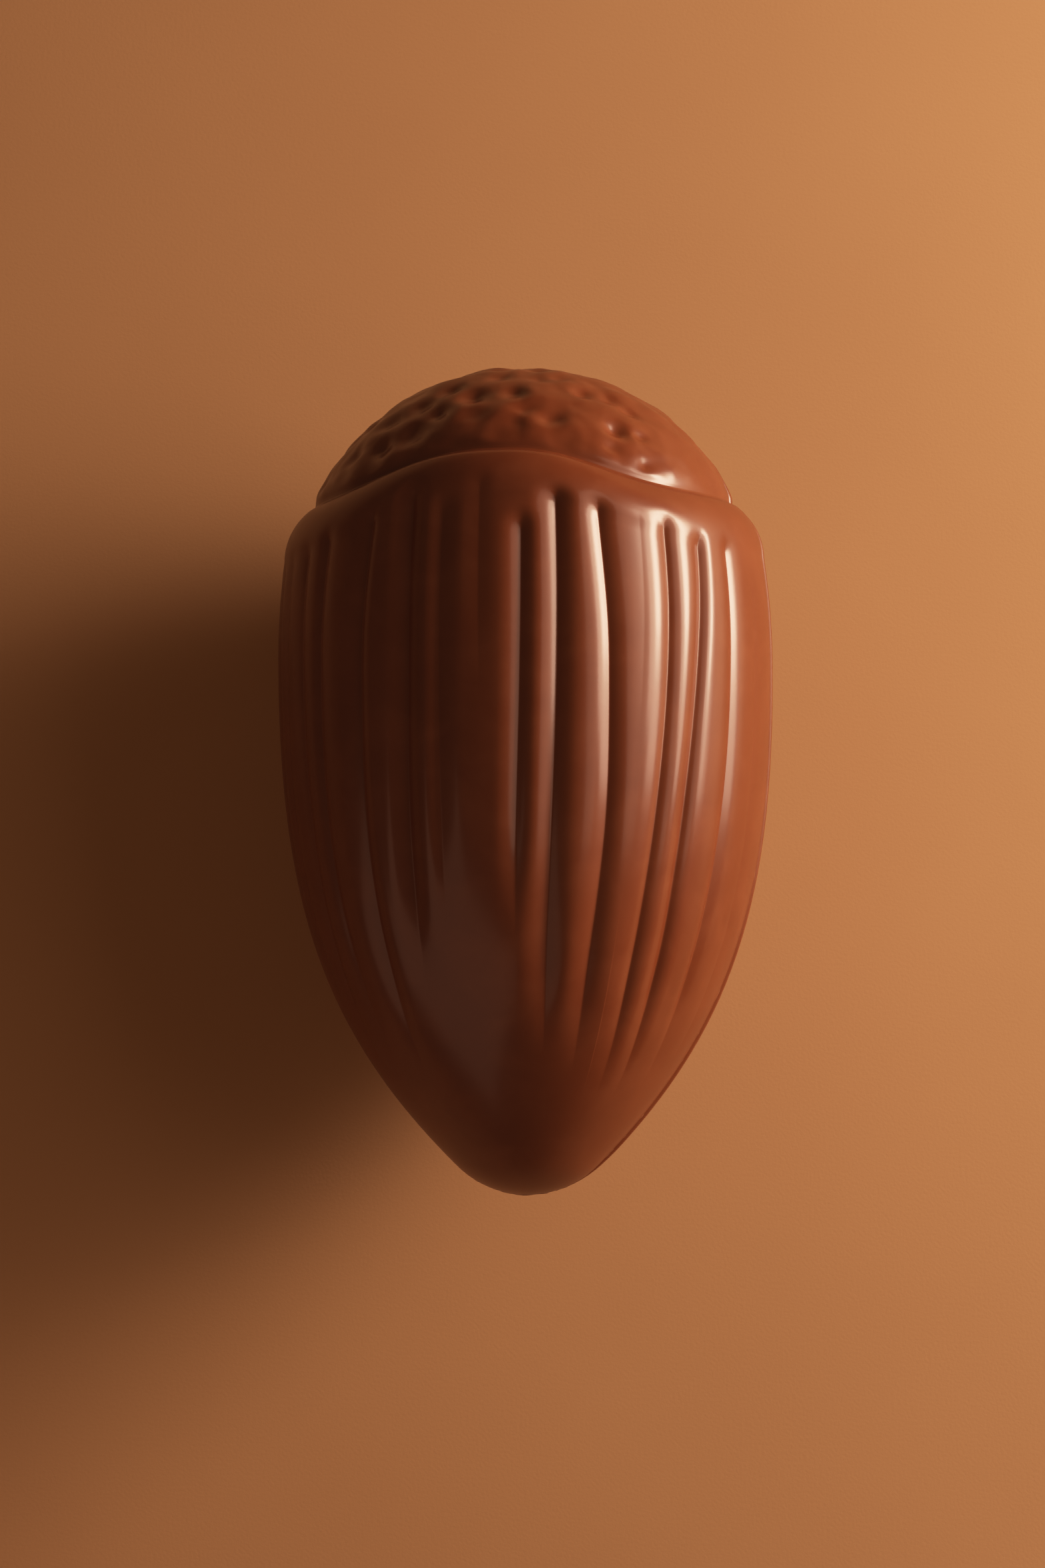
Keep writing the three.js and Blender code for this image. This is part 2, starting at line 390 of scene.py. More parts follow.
UPPER_DIMPLES = [
    Dimple(-62, 138, 2.1, 0.84),
    Dimple(-54, 131.5, 2, 0.96),
    Dimple(-46, 137.5, 2.2, 0.84),
    Dimple(-41.5, 131.8, 2.2, 1.14),
    Dimple(-36, 139.8, 2.2, 0.84),
    Dimple(-31.5, 134.2, 2.7, 1.02),
    Dimple(-28, 143, 2, 0.72),
    Dimple(-24.5, 137.8, 2.3, 1.08),
    Dimple(-14.5, 141, 2.3, 1.08),
    Dimple(-10, 136.6, 2.4, 0.42),
    Dimple(-7, 145.5, 2, 0.6),
    Dimple(2, 141.6, 2.3, 0.9),
    Dimple(5.5, 137.6, 2, 0.66),
    Dimple(3, 134.8, 1.9, 0.36),
    Dimple(13.8, 136, 2.1, 0.96),
    Dimple(14, 145, 2, 0.48),
    Dimple(25, 145.2, 1.9, 0.6),
    Dimple(31, 141.6, 2.1, 1.15),
    Dimple(30.5, 129.8, 1.4, 0.36),
    Dimple(35.3, 134, 2.2, 1.44),
    Dimple(43, 133, 1.4, 0.6),
    Dimple(40, 127.4, 1.4, 0.36),
    Dimple(42, 141, 2.1, 0.75),
    Dimple(45.5, 138.3, 1.9, 0.7),
]


# The valleys on both sides of a column of the skin, the turn to add to the second,
# and how far the column lies between them, from 0 to 1.
Column = tuple[Flute, Flute, float, float]


@dataclass(frozen=True)
class Grid:
    """Places on the smooth skin by row and column, in mm and degrees.

    Attributes:
        station: Distance of each place from the tip.
        angle: Angle of each place round the egg.
        rim: The rim's station on each column.
        parts: The Part that each row is on.
    """

    station: np.ndarray
    angle: np.ndarray
    rim: np.ndarray
    parts: np.ndarray


@dataclass(frozen=True)
class EggForm:
    """The smooth form of the egg, before its relief, in mm and degrees.

    A nose arc and a flank curve with two handles run from the tip to the widest
    station, and an upper curve on to the shoulder's rounding. The rim arches
    over each half, and a step with a fine lip drops from it to the dome, whose
    foot is tucked in.
    """

    length: float = 150.0
    body_radius: float = 44.7
    widest_at: float = 97.0
    nose_radius: float = 18.0
    nose_angle: float = 45.0
    nose_handle: float = 34.5
    waist_handle: float = 43.5
    upper_curve: float = 0.004
    shoulder_length: float = 8.8
    shoulder_radius: float = 11.5
    rim_base: float = 122.4
    rim_arch: float = 6.3
    rim_arch_at: float = -2.0
    rim_arch_left: float = 36.5
    rim_arch_right: float = 32.0
    rim_arch_power: float = 2.6
    rim_seam_rise: float = 1.4
    step_height: float = 0.95
    step_run: float = 1.2
    lip_height: float = 0.07
    lip_width: float = 0.15
    dome_tuck: float = 0.3
    dome_roll: float = 1.5
    dome_centre: float = 106.3
    dome_radius: float = 42.7

    def in_half(self, angle: np.ndarray) -> np.ndarray:
        """Angle from the middle of the half that a place lies in.

        Args:
            angle: Angles round the egg.

        Returns:
            Angles from -90 to 90, the same for both halves.
        """
        a = (angle + 90) % 360 - 90
        return np.where(a <= 90, a, 180 - a)

    def rim(self, angle: np.ndarray) -> np.ndarray:
        """Distance of the rim from the tip, which arches over each half.

        Args:
            angle: Angles round the egg.

        Returns:
            Stations of the rim.
        """
        a = self.in_half(angle)
        width = np.where(a < self.rim_arch_at, self.rim_arch_left, self.rim_arch_right)
        arch = np.exp(-(np.abs((a - self.rim_arch_at) / width) ** self.rim_arch_power))
        return self.rim_base + self.rim_arch * arch + self.rim_seam_rise * np.abs(a / 90) ** 4

    def outline(self) -> tuple[np.ndarray, np.ndarray]:
        """The outline from the tip to the widest station: a nose arc, then a flank curve.

        Returns:
            Stations and radii along it.
        """
        turn = math.radians(self.nose_angle)
        arc = np.linspace(0, turn, 120)
        joint = np.array([self.nose_radius * (1 - math.cos(turn)), self.nose_radius * math.sin(turn)])
        ahead = joint + self.nose_handle * np.array([math.sin(turn), math.cos(turn)])
        waist = np.array([self.widest_at, self.body_radius])
        behind = waist - np.array([self.waist_handle, 0])
        t = np.linspace(0, 1, 600)[1:, None]
        flank = (1 - t) ** 3 * joint + 3 * (1 - t) ** 2 * t * ahead
        flank += 3 * (1 - t) * t * t * behind + t**3 * waist
        stations = np.concatenate([self.nose_radius * (1 - np.cos(arc)), flank[:, 0]])
        radii = np.concatenate([self.nose_radius * np.sin(arc), flank[:, 1]])
        return stations, radii

    def flank_radius(self, station: np.ndarray) -> np.ndarray:
        """Radius of the body without its shoulder.

        Args:
            station: Distances from the tip.

        Returns:
            Radii.
        """
        lower = np.interp(station, *self.outline())
        upper = self.body_radius - self.upper_curve * (station - self.widest_at) ** 2
        return np.where(station < self.widest_at, lower, upper)

    def shell_radius(self, station: np.ndarray, angle: np.ndarray) -> np.ndarray:
        """Radius of the body with the rounding below the rim.

        Args:
            station: Distances from the tip.
            angle: Angles round the egg.

        Returns:
            Radii.
        """
        start = self.rim(angle) - self.shoulder_length
        x = np.clip(station - start, 0, self.shoulder_length)
        rounding = self.shoulder_radius - np.sqrt(self.shoulder_radius**2 - x * x)
        return self.flank_radius(np.minimum(station, start)) - rounding

    def dome_profile(self, station: np.ndarray) -> np.ndarray:
        """Radius of the dome.

        Args:
            station: Distances from the tip.

        Returns:
            Radii.
        """
        t = np.clip((station - self.dome_centre) / (self.length - self.dome_centre), -1, 1)
        return self.dome_radius * np.sqrt(1 - t * t)

    def place(
        self,
        station: np.ndarray,
        angle: np.ndarray,
        radius: np.ndarray,
        shift: tuple[np.ndarray | float, np.ndarray | float] = (0.0, 0.0),
    ) -> np.ndarray:
        """Turn stations, angles and radii into places.

        Args:
            station: Distances from the tip.
            angle: Angles round the egg.
            radius: Distances from the long axis.
            shift: Shifts across and along.

        Returns:
            Places in the egg's own axes, in metres.
        """
        turn = np.radians(angle)
        x = radius * np.sin(turn) + shift[0]
        y = station - self.length / 2 + shift[1]
        return np.stack([x, y, radius * np.cos(turn)], axis=-1) * MM


@dataclass(frozen=True)
class MilkChocolate:
    """Tempered milk chocolate, cast against a polished mould.

    Cocoa butter comes to the surface as a thin clear film that gives a satin
    gloss, and the brown below it has a broad dull sheen. Cloudy patches are
    paler, and fine ripples bend the reflections a little.

    Attributes:
        name: The material's name.
        colour: Brown of most of it, as sRGB hex like the next two.
        deep_colour: Brown where the chocolate is fatter.
        cloudy_colour: Paler brown of the patches where the film is thin.
        roughness: Roughness under the film.
        cloudy_roughness: The same in the cloudy patches.
        sheen: Specular level under the film.
        film: Share of the surface that the film covers.
        film_ior: Index of the film, with its crystals.
        film_roughness: Roughness of the film.
        scatter: Share of the light that goes through the outermost layer.
        scatter_mm: How far that light spreads.
        patch_mm: Size of the changes of brown.
        clouds_per_patch: How many cloudy patches fit in that size.
        ripple_mm: Distance between ripples.
        ripple_height_mm: Height of the ripples.
        grain_mm: Size of the mould's fine grain.
        grain_height_mm: Height of the grain.
    """

    name: str = "milk_chocolate"
    colour: str = "713c20"
    deep_colour: str = "6a361c"
    cloudy_colour: str = "774226"
    roughness: float = 0.4
    cloudy_roughness: float = 0.5
    sheen: float = 0.18
    film: float = 0.3
    film_ior: float = 2.2
    film_roughness: float = 0.21
    scatter: float = 0.08
    scatter_mm: float = 1.5
    patch_mm: float = 24.0
    clouds_per_patch: float = 2.7
    ripple_mm: float = 7.0
    ripple_height_mm: float = 0.012
    grain_mm: float = 0.6
    grain_height_mm: float = 0.0015

    def brown(self, tree: NodeTree, place: NodeSocket, clouds: NodeSocket) -> NodeSocket:
        """Mix the three browns.

        Args:
            tree: The material's nodes.
            place: Object coordinates.
            clouds: The cloudy patches' noise.

        Returns:
            The colour's socket.
        """
        spots = {"Vector": place, "Scale": 1 / (self.patch_mm * MM), "Detail": 4.0, "Roughness": 0.6}
        patches = add_node(tree, NOISE, spots)
        colour = srgb(self.deep_colour)
        for noise, low, high, other in (
            (patches.outputs["Fac"], 0.2, 0.8, self.colour),
            (clouds, 0.35, 0.85, self.cloudy_colour),
        ):
            limits = {"Value": noise, "From Min": low, "From Max": high}
            share = add_node(tree, MAP_RANGE, limits, interpolation_type="SMOOTHSTEP")
            inputs = {"Factor": share.outputs["Result"], "A": colour, "B": srgb(other)}
            colour = add_node(tree, "ShaderNodeMix", inputs, data_type="RGBA").outputs["Result"]
        return colour

    def relief(self, tree: NodeTree, place: NodeSocket) -> NodeSocket:
        """Lay the fine grain over the ripples.

        Args:
            tree: The material's nodes.
            place: Object coordinates.

        Returns:
            The normal's socket.
        """
        below = {}
        for size, height in (
            (self.ripple_mm, self.ripple_height_mm),
            (self.grain_mm, self.grain_height_mm),
        ):
            noise = add_node(tree, NOISE, {"Vector": place, "Scale": 1 / (size * MM), "Detail": 2.0})
            inputs = {"Height": noise.outputs["Fac"], "Strength": 1.0, "Distance": height * MM, **below}
            below = {"Normal": add_node(tree, BUMP, inputs).outputs["Normal"]}
        return below["Normal"]

    def material(self) -> Material:
        """Build the material.

        Returns:
            The material, on Object coordinates.
        """
        material, tree, place = new_material(self.name)
        density = self.clouds_per_patch / (self.patch_mm * MM)
        patchy = {"Vector": place, "Scale": density, "Detail": 3.0, "Distortion": 0.4}
        clouds = add_node(tree, NOISE, patchy).outputs["Fac"]
        dullness = {
            "Value": clouds,
            "From Min": 0.2,
            "From Max": 0.8,
            "To Min": self.roughness,
            "To Max": self.cloudy_roughness,
        }
        gloss = add_node(tree, MAP_RANGE, dullness, interpolation_type="SMOOTHSTEP")
        surface = self.relief(tree, place)
        shader = add_node(
            tree,
            "ShaderNodeBsdfPrincipled",
            {
                "Base Color": self.brown(tree, place, clouds),
                "Roughness": gloss.outputs["Result"],
                "Specular IOR Level": self.sheen,
                "Coat Weight": self.film,
                "Coat IOR": self.film_ior,
                "Coat Roughness": self.film_roughness,
                "Coat Normal": surface,
                "Normal": surface,
                "Subsurface Weight": self.scatter,
                "Subsurface Radius": (1.0, 0.5, 0.25),
                "Subsurface Scale": self.scatter_mm * MM,
            },
        )
        add_node(tree, "ShaderNodeOutputMaterial", {"Surface": shader.outputs["BSDF"]})
        return material


def repeatable(*values: float) -> float:
    """Give the same number from 0 to 1 for the same values.

    Args:
        *values: Up to as many numbers as there are weights.

    Returns:
        A number from 0 to 1.
    """
    total = sum(value * weight for value, weight in zip(values, SINE_WEIGHTS))
    spread = math.sin(total) * SINE_SPREAD
    return spread - math.floor(spread)


@dataclass
class RestingPose:
    """How the egg lies: rolled and dipped, pressed flat where it touches."""

    roll: float = -5.0
    dip: float = 3.2
    rest_depth: float = 0.3
    offset: np.ndarray = field(default_factory=lambda: np.zeros(3))

    def turn(self) -> np.ndarray:
        """Rotation from the egg's own axes to the frame's.

        Returns:
            A 3 by 3 matrix.
        """
        dip = Matrix.Rotation(math.radians(self.dip), 3, "X")
        roll = Matrix.Rotation(math.radians(self.roll), 3, "Y")
        return np.array(dip @ roll)

    def settle(self, points: np.ndarray) -> np.ndarray:
        """Lay the egg down and remember where it went.

        Args:
            points: Places on the egg in its own axes, in metres.

        Returns:
            The same places in the frame.
        """
        laid = points @ self.turn().T
        floor = laid[:, 2].min() + self.rest_depth * MM
        laid[:, 2] = np.maximum(laid[:, 2], floor)
        middle = (laid.min(axis=0) + laid.max(axis=0)) / 2
        wanted = [(low + high) / 2 for low, high in zip(*CAD_BOX)]
        self.offset = np.array([wanted[0] - middle[0], wanted[1] - middle[1], CAD_BOX[0][2] - floor])
        return laid + self.offset

    def follow(self, points: np.ndarray) -> np.ndarray:
        """Carry more points to where the egg was laid.

        Args:
            points: Places in the egg's own axes, in metres.

        Returns:
            The same places in the frame.
        """
        return points @ self.turn().T + self.offset


@dataclass
class FluteRelief:
    """The valleys between the ribs, which geometry nodes sink into the smooth skin.

    Attributes:
        finish: The chocolate.
        crease_round: Radius at the bottom of a crease, in mm like the next two.
        foot_run: Run over which a flute fades in above its foot.
        top_run: Run over which it closes at its upper end.
    """

    finish: Material
    crease_round: float = 0.14
    foot_run: float = 22.0
    top_run: float = 3.6

    def one_flute_tree(self) -> NodeTree:
        """Build the group that gives the depth of one valley at a point.

        The depth falls off to both sides of the crease and beyond the valley's
        upper end, and comes in above its foot.

        Returns:
            A node group with the valley's sizes as inputs and Depth as output.
        """
        tree = bpy.data.node_groups.new("one_flute", "GeometryNodeTree")
        for label in ("Across", "Half", "Depth", "Curve", "Foot", "Top", "Station", "Below Rim"):
            tree.interface.new_socket(label, in_out="INPUT", socket_type="NodeSocketFloat")
        tree.interface.new_socket("Depth", in_out="OUTPUT", socket_type="NodeSocketFloat")
        known = dict(add_node(tree, "NodeGroupInput").outputs.items())
        foot_end = add_node(tree, MATH, {0: known["Foot"], 1: self.foot_run}, operation="ADD")
        run = {"Value": known["Station"], "From Min": known["Foot"], "From Max": foot_end.outputs[0]}
        foot = add_node(tree, MAP_RANGE, run, interpolation_type="SMOOTHSTEP")
        top_end = add_node(tree, MATH, {0: known["Top"], 1: self.top_run}, operation="ADD")
        run = {"Value": known["Below Rim"], "From Min": top_end.outputs[0], "From Max": known["Top"]}
        beyond = add_node(tree, MAP_RANGE, run)
        known.update(foot=foot.outputs["Result"], beyond=beyond.outputs["Result"])
        for name, operation, *terms in (
            ("square", "POWER", "Across", 2.0),
            ("lifted", "ADD", "square", self.crease_round**2),
            ("root", "SQRT", "lifted"),
            ("soft", "SUBTRACT", "root", self.crease_round),
            ("share", "DIVIDE", "soft", "Half"),
            ("aside", "POWER", "share", 2.0),
            ("past", "POWER", "beyond", 2.0),
            ("both", "ADD", "aside", "past"),
            ("away", "SQRT", "both"),
            ("left", "SUBTRACT", 1.0, "away"),
            ("inside", "MAXIMUM", "left", 0.0),
            ("wall", "POWER", "inside", "Curve"),
            ("deep", "MULTIPLY", "wall", "Depth"),
            ("cut", "MULTIPLY", "deep", "foot"),
        ):
            inputs = {number: known.get(term, term) for number, term in enumerate(terms)}
            known[name] = add_node(tree, MATH, inputs, operation=operation).outputs[0]
        add_node(tree, "NodeGroupOutput", {"Depth": known["cut"]})
        return tree

    def tree(self) -> NodeTree:
        """Build the tree that sinks the valleys on both sides of each point.

        Returns:
            A geometry tree with Scale as its size.
        """
        tree, given = new_geometry_tree("flute_relief", {"Scale": MM})
        one = self.one_flute_tree()
        depths = []
        for side in ("near", "far"):
            names = {"Station": "station", "Below Rim": "below_rim"}
            for size in ("Across", "Half", "Depth", "Curve", "Foot", "Top"):
                names[size] = f"{side}_{size.lower()}"
            inputs = {
                label: add_node(tree, READ, {"Name": name}, data_type="FLOAT").outputs[0]
                for label, name in names.items()
            }
            flute = add_node(tree, "GeometryNodeGroup", inputs, node_tree=one)
            depths.append(flute.outputs["Depth"])
        fluted = add_node(tree, READ, {"Name": "fluted"}, data_type="FLOAT")
        height = add_node(tree, MATH, {0: depths[0], 1: depths[1]}, operation="ADD").outputs[0]
        for factor in (fluted.outputs[0], given.outputs["Scale"], -1.0):
            height = add_node(tree, MATH, {0: height, 1: factor}, operation="MULTIPLY").outputs[0]
        end_tree(tree, raise_surface(tree, given.outputs["Geometry"], height), self.finish)
        return tree


@dataclass
class DomeDimples:
    """The dome's soft dents, which geometry nodes press into the smooth skin.

    Sizes are in mm and degrees.

    Attributes:
        form: The egg's smooth form.
        finish: The chocolate.
        tries: Number of seeded places that are tried.
        seed: Seed of those places.
        size: Smallest and largest radius of a seeded dimple.
        depth: Its smallest and largest depth.
        apart: Least distance between two dimples.
        clear: Distance from the rim that stays free of them.
        warp: How far their outlines wander.
        warp_patch: Distance over which the outlines change.
        unevenness: Height of the dome's slight waves.
        placed: First and last angle and crown station of those placed one by one.
    """

    form: EggForm
    finish: Material
    tries: int = 3800
    seed: int = 11
    size: tuple[float, float] = (1.9, 2.7)
    depth: tuple[float, float] = (0.5, 0.85)
    apart: float = 4.4
    clear: float = 2.0
    warp: float = 1.6
    warp_patch: float = 6.0
    unevenness: float = 1.1
    placed: tuple[float, float, float] = (-66.0, 100.0, 147.0)

    def dents(self) -> list[Dimple]:
        """All dimples: those placed one by one, then a seeded scatter over the rest.

        Returns:
            The dimples.
        """
        form = self.form
        first, last, crown = self.placed
        draw = random.Random(self.seed)
        found = list(UPPER_DIMPLES)
        places = [self.middle(dimple) for dimple in found]
        for _ in range(self.tries):
            station = form.length - (form.length - form.rim_base) * draw.random()
            at = draw.uniform(-180.0, 180.0)
            dimple = Dimple(at, station, draw.uniform(*self.size), draw.uniform(*self.depth))
            shown = first < at < last and station < crown
            if shown or station < form.rim(np.array(at)) + self.clear + dimple.size:
                continue
            place = self.middle(dimple)
            if min(np.linalg.norm(place - other) for other in places) > self.apart * MM:
                found.append(dimple)
                places.append(place)
        return found

    def middle(self, dimple: Dimple) -> np.ndarray:
        """Where a dimple lies on the smooth dome.

        Args:
            dimple: The dimple.

        Returns:
            Its middle in the egg's own axes, in metres.
        """
        station = np.array(dimple.station)
        return self.form.place(station, np.array(dimple.at), self.form.dome_profile(station))

    def points(self) -> Object:
        """Make the loose points that the dimple tree reads.

        Returns:
            An object with one point for each dimple and its sizes on it.
        """
        dimples = self.dents()
        mesh = bpy.data.meshes.new("dimple_points")
        mesh.from_pydata([self.middle(dimple).tolist() for dimple in dimples], [], [])
        for size in ("size", "depth"):
            store(mesh, size, np.array([getattr(dimple, size) * MM for dimple in dimples]))
        return put_in_scene("dimple_points", mesh)

    def tree(self, points: Object) -> NodeTree:
        """Build the tree that presses one soft dent into the dome for each point.

        Args:
            points: The dimples' middles.

        Returns:
            A geometry tree with Warp and Unevenness as its sizes.
        """
        sizes = {"Warp": self.warp * MM, "Unevenness": self.unevenness * MM}
        tree, given = new_geometry_tree("dome_dimples", sizes)
        source = add_node(tree, "GeometryNodeObjectInfo", {"Object": points}, transform_space="ORIGINAL")
        marks = source.outputs["Geometry"]
        count = add_node(tree, "GeometryNodeAttributeDomainSize", {"Geometry": marks}, component="MESH")
        position = add_node(tree, "GeometryNodeInputPosition").outputs[0]
        waves = {"Vector": position, "Scale": 1 / (self.warp_patch * MM), "Detail": 1.0, "Roughness": 0.3}
        rough = add_node(tree, NOISE, waves)
        shift = shift_by_noise(tree, rough, given.outputs["Warp"])
        bent = add_node(tree, VECTOR_MATH, {0: position, 1: shift}, operation="ADD").outputs[0]
        known = {"waves": rough.outputs["Fac"], "Unevenness": given.outputs["Unevenness"]}
        for label in ("size", "depth", "dent", "dimpled"):
            known[label] = add_node(tree, READ, {"Name": label}, data_type="FLOAT").outputs[0]
        keep = "GeometryNodeStoreNamedAttribute"
        blank = {"Geometry": given.outputs["Geometry"], "Name": "dent", "Value": 0.0}
        start = add_node(tree, keep, blank, data_type="FLOAT")
        each = add_node(tree, "GeometryNodeRepeatInput")
        after = add_node(tree, "GeometryNodeRepeatOutput")
        each.pair_with_output(after)
        tree.links.new(count.outputs["Point Count"], each.inputs["Iterations"])
        tree.links.new(start.outputs[0], each.inputs["Geometry"])
        for label, value, kind in (
            ("middle", position, "FLOAT_VECTOR"),
            ("size", known["size"], "FLOAT"),
            ("depth", known["depth"], "FLOAT"),
        ):
            inputs = {"Geometry": marks, "Value": value, "Index": each.outputs["Iteration"]}
            sample = add_node(tree, "GeometryNodeSampleIndex", inputs, data_type=kind)
            known[label] = sample.outputs["Value"]
        reach = add_node(tree, VECTOR_MATH, {0: bent, 1: known["middle"]}, operation="DISTANCE")
        known["reach"] = reach.outputs["Value"]
        for name, operation, *terms in (
            ("share", "DIVIDE", "reach", "size"),
            ("square", "POWER", "share", 2.0),
            ("minus", "MULTIPLY", "square", -1.0),
            ("fall", "EXPONENT", "minus"),
            ("more", "MULTIPLY_ADD", "fall", "depth", "dent"),
            ("level", "ADD", "waves", -0.5),
            ("wavy", "MULTIPLY", "level", "Unevenness"),
            ("height", "SUBTRACT", "wavy", "dent"),
            ("faded", "MULTIPLY", "height", "dimpled"),
        ):
            inputs = {number: known.get(term, term) for number, term in enumerate(terms)}
            known[name] = add_node(tree, MATH, inputs, operation=operation).outputs[0]
        deeper = {"Geometry": each.outputs["Geometry"], "Name": "dent", "Value": known["more"]}
        added = add_node(tree, keep, deeper, data_type="FLOAT")
        tree.links.new(added.outputs[0], after.inputs["Geometry"])
        end_tree(tree, raise_surface(tree, after.outputs["Geometry"], known["faded"]), self.finish)
        return tree


@dataclass
class FlutedEgg:
    """The whole egg as one skin: fluted body, rim step and dimpled dome.

    Sizes are in mm and degrees.

    Attributes:
        form: The smooth form.
        rest: How the egg lies.
        relief: The valleys of the body.
        dimples: The dents of the dome.
        name: The piece's name.
        lower_flutes: Number of flutes on the half below.
        lower_seed: Seed of their sizes.
        upper_columns_per_mm: Density of the columns on the upper half.
        lower_columns_per_mm: The same on the lower half.
        least_columns: Fewest columns between two creases.
        crease_pinch: How strongly columns crowd towards a crease, from 0 to 1.
        body_rows: Rows that open out from the tip to row_turn.
        row_turn: Station above which the body's rows are evenly spaced.
        upper_rows: Rows from row_turn to the shoulder.
        shoulder_rows: Rows on the shoulder's rounding.
        step_rows: Rows on the rim's step.
        dome_rows: Rows on the dome.
        dome_row_shift: Share of a row that the dome's rows start early.
        dome_crowding: Above 1, crowds the dome's rows towards its foot.
        rim_read_at: Station at which a column's angle for the rim is read.
        seam_width: Half the width of the seam's groove.
        seam_depth: Depth of the groove.
        least_radius: Smallest radius, next to the poles.
        lower_shift: Shift of the lower half, across and along.
        shift_fade: Distance from each end over which that shift fades out.
        lean_range: Stations between which a flute's lean comes in.
    """

    form: EggForm
    rest: RestingPose
    relief: FluteRelief
    dimples: DomeDimples
    name: str = "egg_skin"
    lower_flutes: int = 14
    lower_seed: int = 7
    upper_columns_per_mm: float = 2.0
    lower_columns_per_mm: float = 1.3
    least_columns: int = 6
    crease_pinch: float = 0.86
    body_rows: int = 46
    row_turn: float = 95.0
    upper_rows: int = 18
    shoulder_rows: int = 12
    step_rows: int = 15
    dome_rows: int = 84
    dome_row_shift: float = 0.3
    dome_crowding: float = 1.15
    rim_read_at: float = 118.0
    seam_width: float = 0.28
    seam_depth: float = 0.35
    least_radius: float = 0.2
    lower_shift: tuple[float, float] = (0.45, -0.3)
    shift_fade: float = 9.0
    lean_range: tuple[float, float] = (92.0, 122.0)

    def flutes(self) -> list[Flute]:
        """All valleys round the egg, with the two seams among them.

        Returns:
            Valleys in order of angle, starting at the left seam.
        """
        step = 180 / self.lower_flutes
        lower = []
        for i in range(self.lower_flutes):
            place, lean, sweep, top, foot, depth, width = [
                repeatable(i, k, self.lower_seed) for k in range(1, 8)
            ]
            # Each size is a least value and a share of its spread.
            lower.append(
                Flute(
                    at=90 + step * (i + 0.5 + 0.3 * (place - 0.5)),
                    lean=2 * (lean - 0.5),
                    sweep=3 * (sweep - 0.5),
                    top=5 + 5 * top,
                    foot=20 + 20 * foot,
                    depth=1.1 + 0.5 * depth,
                    left=3.6 + 1.2 * width,
                    right=4.8 - 1.2 * width,
                )
            )
        seams = [Flute(side.value, depth=0.0) for side in Side]
        return sorted([*UPPER_FLUTES, *lower, *seams], key=lambda flute: flute.at)

    def valley_angle(self, flute: Flute, station: np.ndarray) -> np.ndarray:
        """Where a valley runs.

        Args:
            flute: The valley.
            station: Distances from the tip.

        Returns:
            Angles round the egg.
        """
        up = smoothstep(station, *self.lean_range)
        down = 1 - smoothstep(station, *flute.bend)
        return flute.at + flute.lean * up + flute.sweep * down

    def columns(self) -> list[Column]:
        """Columns of the skin, crowded towards each crease.

        Returns:
            The columns in order of angle.
        """
        flutes = self.flutes()
        columns = []
        for near, far in zip(flutes, [*flutes[1:], flutes[0]]):
            turn = 360.0 if far.at <= near.at else 0.0
            gap = math.radians(far.at + turn - near.at) * self.form.body_radius
            dense = near.at < Side.RIGHT.value
            per_mm = self.upper_columns_per_mm if dense else self.lower_columns_per_mm
            count = max(self.least_columns, round(gap * per_mm))
            for k in range(count):
                pinch = self.crease_pinch * math.sin(2 * math.pi * k / count) / (2 * math.pi)
                columns.append((near, far, turn, k / count - pinch))
        return columns

    def stations(self, rim: np.ndarray) -> tuple[np.ndarray, np.ndarray]:
        """Stations of every row on every column, and which part each row is on.

        Args:
            rim: The rim's station on each column.

        Returns:
            Stations by row and column, and the Part of each row.
        """
        form = self.form
        low = form.rim_base - form.shoulder_length
        sweep = np.linspace(0, math.pi / 2, self.body_rows + 1)[1:]
        opening = self.row_turn * (1 - np.cos(sweep))
        even = np.linspace(self.row_turn, low, self.upper_rows + 1)[1:]
        body = np.concatenate([opening, even])
        body_rows = body[:, None] * ((rim - form.shoulder_length) / low)[None, :]
        steepest = math.asin(form.shoulder_length / form.shoulder_radius)
        turn = np.linspace(0, steepest, self.shoulder_rows + 1)[1:]
        along = form.shoulder_radius * np.sin(turn) - form.shoulder_length
        shoulder_rows = rim[None, :] + along[:, None]
        q = np.arange(1, self.step_rows + 1) / self.step_rows
        step_rows = rim[None, :] + form.step_run * q[:, None]
        height = form.length - form.dome_centre
        start = np.arcsin((rim + form.step_run - form.dome_centre) / height)
        count = (np.arange(1, self.dome_rows + 1) - self.dome_row_shift) / self.dome_rows
        bend = start[None, :] + (math.pi / 2 - start[None, :]) * count[:, None] ** self.dome_crowding
        dome_rows = form.dome_centre + height * np.sin(bend)
        rows = [body_rows, shoulder_rows, step_rows, dome_rows]
        parts = [Part.BODY, Part.BODY, Part.STEP, Part.DOME]
        return np.concatenate(rows), np.repeat(parts, [len(part) for part in rows])

    def blank(self) -> Object:
        """Make the smooth skin, with what the relief needs stored on its points.

        Returns:
            A closed mesh object in the egg's own axes, in metres.
        """
        columns = self.columns()
        read_at = np.array([self.rim_read_at])
        rim = self.form.rim(np.array([self.between(column, read_at)[0] for column in columns]))
        station, parts = self.stations(rim)
        angles = [self.between(column, station[:, j]) for j, column in enumerate(columns)]
        grid = Grid(station, np.stack(angles, axis=1), rim, parts)
        lower = np.array([self.is_lower(column) for column in columns])
        shift = self.mismatch(station, lower[None, :])
        places = self.form.place(station, grid.angle, self.radii(grid), shift)
        mesh = closed_mesh(self.name, places)
        for label, values in self.relief_facts(columns, grid).items():
            poles = [values[0].mean()], [values[-1].mean()]
            store(mesh, label, np.concatenate([poles[0], values.ravel(), poles[1]]))
        return put_in_scene(self.name, mesh)

